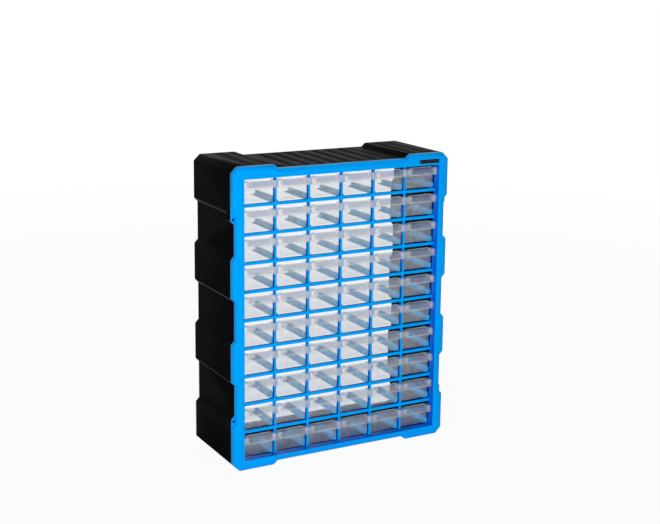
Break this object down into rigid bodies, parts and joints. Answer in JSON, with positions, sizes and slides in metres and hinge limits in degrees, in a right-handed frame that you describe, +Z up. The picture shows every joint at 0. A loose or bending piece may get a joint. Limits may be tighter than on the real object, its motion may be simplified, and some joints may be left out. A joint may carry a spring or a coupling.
{
  "type": "parts bin cabinet",
  "caption": "Free-standing parts cabinet: stepped housing, front frame with a lattice, and rows of clear pull-out drawers.",
  "frame": {"origin": "middle of the footprint, at the height of the feet", "axes": "+X to the right seen from the front, +Y from the front to the back, +Z up; the drawers pull out along -Y"},
  "size_m": [0.38, 0.15, 0.475],
  "materials": {
    "black_housing": "moulded, satin black",
    "blue_frame": "moulded, semi-gloss blue",
    "clear_drawer": "clear moulded polystyrene",
    "screw_black": "blackened steel"
  },
  "bodies": {
    "cabinet": {"rear_housing": "black_housing", "front_frame": "blue_frame", "drawer_grid": "blue_frame", "guide_rails": "blue_frame", "frame_screws": "screw_black"},
    "drawer_r1_c1": {"drawer_r1_c1": "clear_drawer"},
    "drawer_r1_c2": {"drawer_r1_c2": "clear_drawer"},
    "drawer_r1_c3": {"drawer_r1_c3": "clear_drawer"},
    "drawer_r1_c4": {"drawer_r1_c4": "clear_drawer"},
    "drawer_r1_c5": {"drawer_r1_c5": "clear_drawer"},
    "drawer_r1_c6": {"drawer_r1_c6": "clear_drawer"},
    "drawer_r2_c1": {"drawer_r2_c1": "clear_drawer"},
    "drawer_r2_c2": {"drawer_r2_c2": "clear_drawer"},
    "drawer_r2_c3": {"drawer_r2_c3": "clear_drawer"},
    "drawer_r2_c4": {"drawer_r2_c4": "clear_drawer"},
    "drawer_r2_c5": {"drawer_r2_c5": "clear_drawer"},
    "drawer_r2_c6": {"drawer_r2_c6": "clear_drawer"},
    "drawer_r3_c1": {"drawer_r3_c1": "clear_drawer"},
    "drawer_r3_c2": {"drawer_r3_c2": "clear_drawer"},
    "drawer_r3_c3": {"drawer_r3_c3": "clear_drawer"},
    "drawer_r3_c4": {"drawer_r3_c4": "clear_drawer"},
    "drawer_r3_c5": {"drawer_r3_c5": "clear_drawer"},
    "drawer_r3_c6": {"drawer_r3_c6": "clear_drawer"},
    "drawer_r4_c1": {"drawer_r4_c1": "clear_drawer"},
    "drawer_r4_c2": {"drawer_r4_c2": "clear_drawer"},
    "drawer_r4_c3": {"drawer_r4_c3": "clear_drawer"},
    "drawer_r4_c4": {"drawer_r4_c4": "clear_drawer"},
    "drawer_r4_c5": {"drawer_r4_c5": "clear_drawer"},
    "drawer_r4_c6": {"drawer_r4_c6": "clear_drawer"},
    "drawer_r5_c1": {"drawer_r5_c1": "clear_drawer"},
    "drawer_r5_c2": {"drawer_r5_c2": "clear_drawer"},
    "drawer_r5_c3": {"drawer_r5_c3": "clear_drawer"},
    "drawer_r5_c4": {"drawer_r5_c4": "clear_drawer"},
    "drawer_r5_c5": {"drawer_r5_c5": "clear_drawer"},
    "drawer_r5_c6": {"drawer_r5_c6": "clear_drawer"},
    "drawer_r6_c1": {"drawer_r6_c1": "clear_drawer"},
    "drawer_r6_c2": {"drawer_r6_c2": "clear_drawer"},
    "drawer_r6_c3": {"drawer_r6_c3": "clear_drawer"},
    "drawer_r6_c4": {"drawer_r6_c4": "clear_drawer"},
    "drawer_r6_c5": {"drawer_r6_c5": "clear_drawer"},
    "drawer_r6_c6": {"drawer_r6_c6": "clear_drawer"},
    "drawer_r7_c1": {"drawer_r7_c1": "clear_drawer"},
    "drawer_r7_c2": {"drawer_r7_c2": "clear_drawer"},
    "drawer_r7_c3": {"drawer_r7_c3": "clear_drawer"},
    "drawer_r7_c4": {"drawer_r7_c4": "clear_drawer"},
    "drawer_r7_c5": {"drawer_r7_c5": "clear_drawer"},
    "drawer_r7_c6": {"drawer_r7_c6": "clear_drawer"},
    "drawer_r8_c1": {"drawer_r8_c1": "clear_drawer"},
    "drawer_r8_c2": {"drawer_r8_c2": "clear_drawer"},
    "drawer_r8_c3": {"drawer_r8_c3": "clear_drawer"},
    "drawer_r8_c4": {"drawer_r8_c4": "clear_drawer"},
    "drawer_r8_c5": {"drawer_r8_c5": "clear_drawer"},
    "drawer_r8_c6": {"drawer_r8_c6": "clear_drawer"},
    "drawer_r9_c1": {"drawer_r9_c1": "clear_drawer"},
    "drawer_r9_c2": {"drawer_r9_c2": "clear_drawer"},
    "drawer_r9_c3": {"drawer_r9_c3": "clear_drawer"},
    "drawer_r9_c4": {"drawer_r9_c4": "clear_drawer"},
    "drawer_r9_c5": {"drawer_r9_c5": "clear_drawer"},
    "drawer_r9_c6": {"drawer_r9_c6": "clear_drawer"},
    "bottom_row_drawers": {"bottom_row_drawers": "clear_drawer"}
  },
  "joints": [
    {"name": "drawer_r1_c1_slide", "type": "slide", "parent": "cabinet", "child": "drawer_r1_c1", "axis": [0, -1, 0], "range_m": [0, 0.105]},
    {"name": "drawer_r1_c2_slide", "type": "slide", "parent": "cabinet", "child": "drawer_r1_c2", "axis": [0, -1, 0], "range_m": [0, 0.105]},
    {"name": "drawer_r1_c3_slide", "type": "slide", "parent": "cabinet", "child": "drawer_r1_c3", "axis": [0, -1, 0], "range_m": [0, 0.105]},
    {"name": "drawer_r1_c4_slide", "type": "slide", "parent": "cabinet", "child": "drawer_r1_c4", "axis": [0, -1, 0], "range_m": [0, 0.105]},
    {"name": "drawer_r1_c5_slide", "type": "slide", "parent": "cabinet", "child": "drawer_r1_c5", "axis": [0, -1, 0], "range_m": [0, 0.105]},
    {"name": "drawer_r1_c6_slide", "type": "slide", "parent": "cabinet", "child": "drawer_r1_c6", "axis": [0, -1, 0], "range_m": [0, 0.105]},
    {"name": "drawer_r2_c1_slide", "type": "slide", "parent": "cabinet", "child": "drawer_r2_c1", "axis": [0, -1, 0], "range_m": [0, 0.105]},
    {"name": "drawer_r2_c2_slide", "type": "slide", "parent": "cabinet", "child": "drawer_r2_c2", "axis": [0, -1, 0], "range_m": [0, 0.105]},
    {"name": "drawer_r2_c3_slide", "type": "slide", "parent": "cabinet", "child": "drawer_r2_c3", "axis": [0, -1, 0], "range_m": [0, 0.105]},
    {"name": "drawer_r2_c4_slide", "type": "slide", "parent": "cabinet", "child": "drawer_r2_c4", "axis": [0, -1, 0], "range_m": [0, 0.105]},
    {"name": "drawer_r2_c5_slide", "type": "slide", "parent": "cabinet", "child": "drawer_r2_c5", "axis": [0, -1, 0], "range_m": [0, 0.105]},
    {"name": "drawer_r2_c6_slide", "type": "slide", "parent": "cabinet", "child": "drawer_r2_c6", "axis": [0, -1, 0], "range_m": [0, 0.105]},
    {"name": "drawer_r3_c1_slide", "type": "slide", "parent": "cabinet", "child": "drawer_r3_c1", "axis": [0, -1, 0], "range_m": [0, 0.105]},
    {"name": "drawer_r3_c2_slide", "type": "slide", "parent": "cabinet", "child": "drawer_r3_c2", "axis": [0, -1, 0], "range_m": [0, 0.105]},
    {"name": "drawer_r3_c3_slide", "type": "slide", "parent": "cabinet", "child": "drawer_r3_c3", "axis": [0, -1, 0], "range_m": [0, 0.105]},
    {"name": "drawer_r3_c4_slide", "type": "slide", "parent": "cabinet", "child": "drawer_r3_c4", "axis": [0, -1, 0], "range_m": [0, 0.105]},
    {"name": "drawer_r3_c5_slide", "type": "slide", "parent": "cabinet", "child": "drawer_r3_c5", "axis": [0, -1, 0], "range_m": [0, 0.105]},
    {"name": "drawer_r3_c6_slide", "type": "slide", "parent": "cabinet", "child": "drawer_r3_c6", "axis": [0, -1, 0], "range_m": [0, 0.105]},
    {"name": "drawer_r4_c1_slide", "type": "slide", "parent": "cabinet", "child": "drawer_r4_c1", "axis": [0, -1, 0], "range_m": [0, 0.105]},
    {"name": "drawer_r4_c2_slide", "type": "slide", "parent": "cabinet", "child": "drawer_r4_c2", "axis": [0, -1, 0], "range_m": [0, 0.105]},
    {"name": "drawer_r4_c3_slide", "type": "slide", "parent": "cabinet", "child": "drawer_r4_c3", "axis": [0, -1, 0], "range_m": [0, 0.105]},
    {"name": "drawer_r4_c4_slide", "type": "slide", "parent": "cabinet", "child": "drawer_r4_c4", "axis": [0, -1, 0], "range_m": [0, 0.105]},
    {"name": "drawer_r4_c5_slide", "type": "slide", "parent": "cabinet", "child": "drawer_r4_c5", "axis": [0, -1, 0], "range_m": [0, 0.105]},
    {"name": "drawer_r4_c6_slide", "type": "slide", "parent": "cabinet", "child": "drawer_r4_c6", "axis": [0, -1, 0], "range_m": [0, 0.105]},
    {"name": "drawer_r5_c1_slide", "type": "slide", "parent": "cabinet", "child": "drawer_r5_c1", "axis": [0, -1, 0], "range_m": [0, 0.105]},
    {"name": "drawer_r5_c2_slide", "type": "slide", "parent": "cabinet", "child": "drawer_r5_c2", "axis": [0, -1, 0], "range_m": [0, 0.105]},
    {"name": "drawer_r5_c3_slide", "type": "slide", "parent": "cabinet", "child": "drawer_r5_c3", "axis": [0, -1, 0], "range_m": [0, 0.105]},
    {"name": "drawer_r5_c4_slide", "type": "slide", "parent": "cabinet", "child": "drawer_r5_c4", "axis": [0, -1, 0], "range_m": [0, 0.105]},
    {"name": "drawer_r5_c5_slide", "type": "slide", "parent": "cabinet", "child": "drawer_r5_c5", "axis": [0, -1, 0], "range_m": [0, 0.105]},
    {"name": "drawer_r5_c6_slide", "type": "slide", "parent": "cabinet", "child": "drawer_r5_c6", "axis": [0, -1, 0], "range_m": [0, 0.105]},
    {"name": "drawer_r6_c1_slide", "type": "slide", "parent": "cabinet", "child": "drawer_r6_c1", "axis": [0, -1, 0], "range_m": [0, 0.105]},
    {"name": "drawer_r6_c2_slide", "type": "slide", "parent": "cabinet", "child": "drawer_r6_c2", "axis": [0, -1, 0], "range_m": [0, 0.105]},
    {"name": "drawer_r6_c3_slide", "type": "slide", "parent": "cabinet", "child": "drawer_r6_c3", "axis": [0, -1, 0], "range_m": [0, 0.105]},
    {"name": "drawer_r6_c4_slide", "type": "slide", "parent": "cabinet", "child": "drawer_r6_c4", "axis": [0, -1, 0], "range_m": [0, 0.105]},
    {"name": "drawer_r6_c5_slide", "type": "slide", "parent": "cabinet", "child": "drawer_r6_c5", "axis": [0, -1, 0], "range_m": [0, 0.105]},
    {"name": "drawer_r6_c6_slide", "type": "slide", "parent": "cabinet", "child": "drawer_r6_c6", "axis": [0, -1, 0], "range_m": [0, 0.105]},
    {"name": "drawer_r7_c1_slide", "type": "slide", "parent": "cabinet", "child": "drawer_r7_c1", "axis": [0, -1, 0], "range_m": [0, 0.105]},
    {"name": "drawer_r7_c2_slide", "type": "slide", "parent": "cabinet", "child": "drawer_r7_c2", "axis": [0, -1, 0], "range_m": [0, 0.105]},
    {"name": "drawer_r7_c3_slide", "type": "slide", "parent": "cabinet", "child": "drawer_r7_c3", "axis": [0, -1, 0], "range_m": [0, 0.105]},
    {"name": "drawer_r7_c4_slide", "type": "slide", "parent": "cabinet", "child": "drawer_r7_c4", "axis": [0, -1, 0], "range_m": [0, 0.105]},
    {"name": "drawer_r7_c5_slide", "type": "slide", "parent": "cabinet", "child": "drawer_r7_c5", "axis": [0, -1, 0], "range_m": [0, 0.105]},
    {"name": "drawer_r7_c6_slide", "type": "slide", "parent": "cabinet", "child": "drawer_r7_c6", "axis": [0, -1, 0], "range_m": [0, 0.105]},
    {"name": "drawer_r8_c1_slide", "type": "slide", "parent": "cabinet", "child": "drawer_r8_c1", "axis": [0, -1, 0], "range_m": [0, 0.105]},
    {"name": "drawer_r8_c2_slide", "type": "slide", "parent": "cabinet", "child": "drawer_r8_c2", "axis": [0, -1, 0], "range_m": [0, 0.105]},
    {"name": "drawer_r8_c3_slide", "type": "slide", "parent": "cabinet", "child": "drawer_r8_c3", "axis": [0, -1, 0], "range_m": [0, 0.105]},
    {"name": "drawer_r8_c4_slide", "type": "slide", "parent": "cabinet", "child": "drawer_r8_c4", "axis": [0, -1, 0], "range_m": [0, 0.105]},
    {"name": "drawer_r8_c5_slide", "type": "slide", "parent": "cabinet", "child": "drawer_r8_c5", "axis": [0, -1, 0], "range_m": [0, 0.105]},
    {"name": "drawer_r8_c6_slide", "type": "slide", "parent": "cabinet", "child": "drawer_r8_c6", "axis": [0, -1, 0], "range_m": [0, 0.105]},
    {"name": "drawer_r9_c1_slide", "type": "slide", "parent": "cabinet", "child": "drawer_r9_c1", "axis": [0, -1, 0], "range_m": [0, 0.105]},
    {"name": "drawer_r9_c2_slide", "type": "slide", "parent": "cabinet", "child": "drawer_r9_c2", "axis": [0, -1, 0], "range_m": [0, 0.105]},
    {"name": "drawer_r9_c3_slide", "type": "slide", "parent": "cabinet", "child": "drawer_r9_c3", "axis": [0, -1, 0], "range_m": [0, 0.105]},
    {"name": "drawer_r9_c4_slide", "type": "slide", "parent": "cabinet", "child": "drawer_r9_c4", "axis": [0, -1, 0], "range_m": [0, 0.105]},
    {"name": "drawer_r9_c5_slide", "type": "slide", "parent": "cabinet", "child": "drawer_r9_c5", "axis": [0, -1, 0], "range_m": [0, 0.105]},
    {"name": "drawer_r9_c6_slide", "type": "slide", "parent": "cabinet", "child": "drawer_r9_c6", "axis": [0, -1, 0], "range_m": [0, 0.105]},
    {"name": "bottom_row_drawers_slide", "type": "slide", "parent": "cabinet", "child": "bottom_row_drawers", "axis": [0, -1, 0], "range_m": [0, 0.105]}
  ]
}
